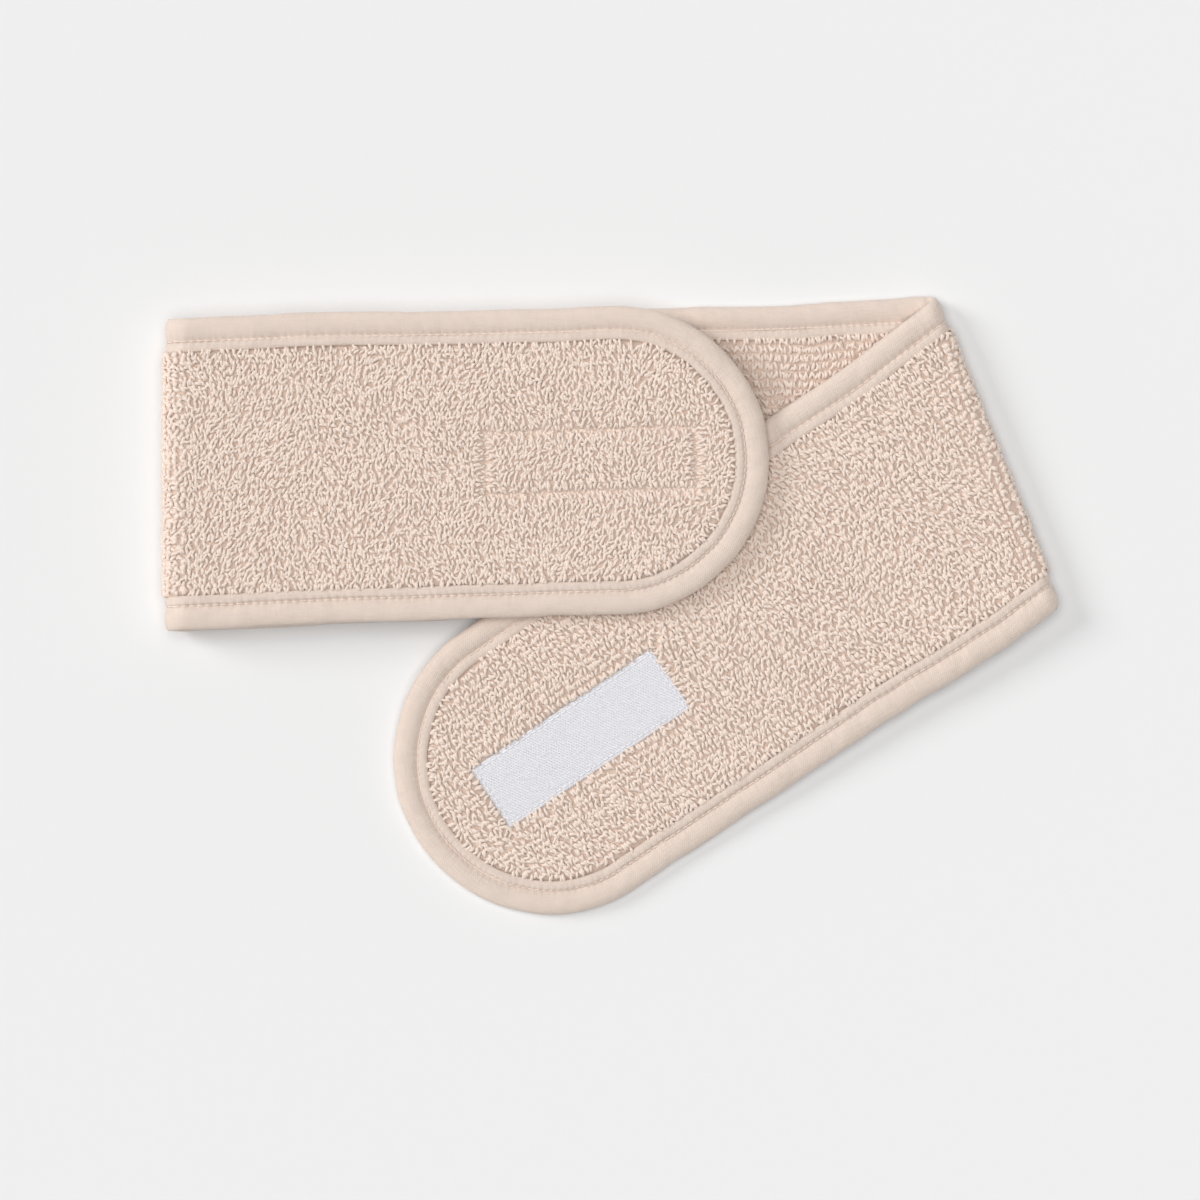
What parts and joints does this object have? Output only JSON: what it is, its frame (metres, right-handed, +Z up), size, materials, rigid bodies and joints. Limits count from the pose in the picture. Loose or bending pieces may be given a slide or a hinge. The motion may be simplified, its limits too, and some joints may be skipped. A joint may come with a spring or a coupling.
{
  "type": "terry wrap headband",
  "caption": "Folded terry cloth wrap headband with bound edges and a hook and loop closure, laid flat in three layers.",
  "frame": {"origin": "middle of the middle leg's underside, between the two folds, on the surface that the headband lies on", "axes": "+X along the middle leg from the left fold to the right fold, +Y towards the rear edge, which the lower leg folds away from, +Z up"},
  "size_m": [0.251, 0.1715, 0.0146],
  "materials": {
    "terry": "uncut cotton loops on both faces, beige",
    "binding": "soft cotton knit tape, folded over the edge, pale beige",
    "thread": "spun sewing thread, lockstitched, pale beige",
    "hook_tape": "woven hook tape, cool white, fine rows of hooks",
    "loop_tape": "woven loop tape, cool white, short brushed nap",
    "patch_thread": "white sewing thread"
  },
  "bodies": {
    "middle": {"terry_middle_leg": "terry", "binding_middle_leg_rear": "binding", "binding_middle_leg_front": "binding", "seam_outer_middle_leg_rear": "thread", "seam_outer_middle_leg_front": "thread", "seam_inner_middle_leg_rear": "thread", "seam_inner_middle_leg_front": "thread"},
    "left_bend": {"terry_left_bend": "terry", "binding_left_bend_rear": "binding", "binding_left_bend_front": "binding", "seam_outer_left_bend_rear": "thread", "seam_outer_left_bend_front": "thread"},
    "top_leg": {"terry_top_leg": "terry", "binding_top_leg": "binding", "seam_outer_top_leg": "thread", "seam_inner_top_leg": "thread", "loop_patch": "loop_tape", "loop_patch_seam": "patch_thread"},
    "right_bend": {"terry_right_bend": "terry", "binding_right_bend_rear": "binding", "binding_right_bend_front": "binding", "seam_outer_right_bend_rear": "thread", "seam_outer_right_bend_front": "thread"},
    "lower_leg": {"terry_lower_leg": "terry", "binding_lower_leg": "binding", "seam_outer_lower_leg": "thread", "seam_inner_lower_leg": "thread", "hook_patch": "hook_tape", "hook_patch_seam": "patch_thread"}
  },
  "joints": [
    {"name": "left_fold_lower", "type": "hinge", "parent": "middle", "child": "left_bend", "pos_m": [-0.11573, 0, 0.00337], "axis": [0, -1, 0], "range_deg": [0, 90]},
    {"name": "left_fold_upper", "type": "hinge", "parent": "left_bend", "child": "top_leg", "pos_m": [-0.11573, 0, 0.01123], "axis": [0, -1, 0], "range_deg": [0, 90]},
    {"name": "right_fold_lower", "type": "hinge", "parent": "middle", "child": "right_bend", "pos_m": [0.11598, 0.00056, 0.00284], "axis": [-0.284, 0.9588, 0], "range_deg": [0, 45]},
    {"name": "right_fold_upper", "type": "hinge", "parent": "right_bend", "child": "lower_leg", "pos_m": [0.11598, 0.00056, 0.00676], "axis": [-0.284, 0.9588, 0], "range_deg": [0, 45]}
  ],
  "couplings": [
    {"joint": "left_fold_upper", "follows": "left_fold_lower", "ratio": 1},
    {"joint": "right_fold_lower", "follows": "left_fold_lower", "ratio": 0.5},
    {"joint": "right_fold_upper", "follows": "left_fold_lower", "ratio": 0.5}
  ]
}
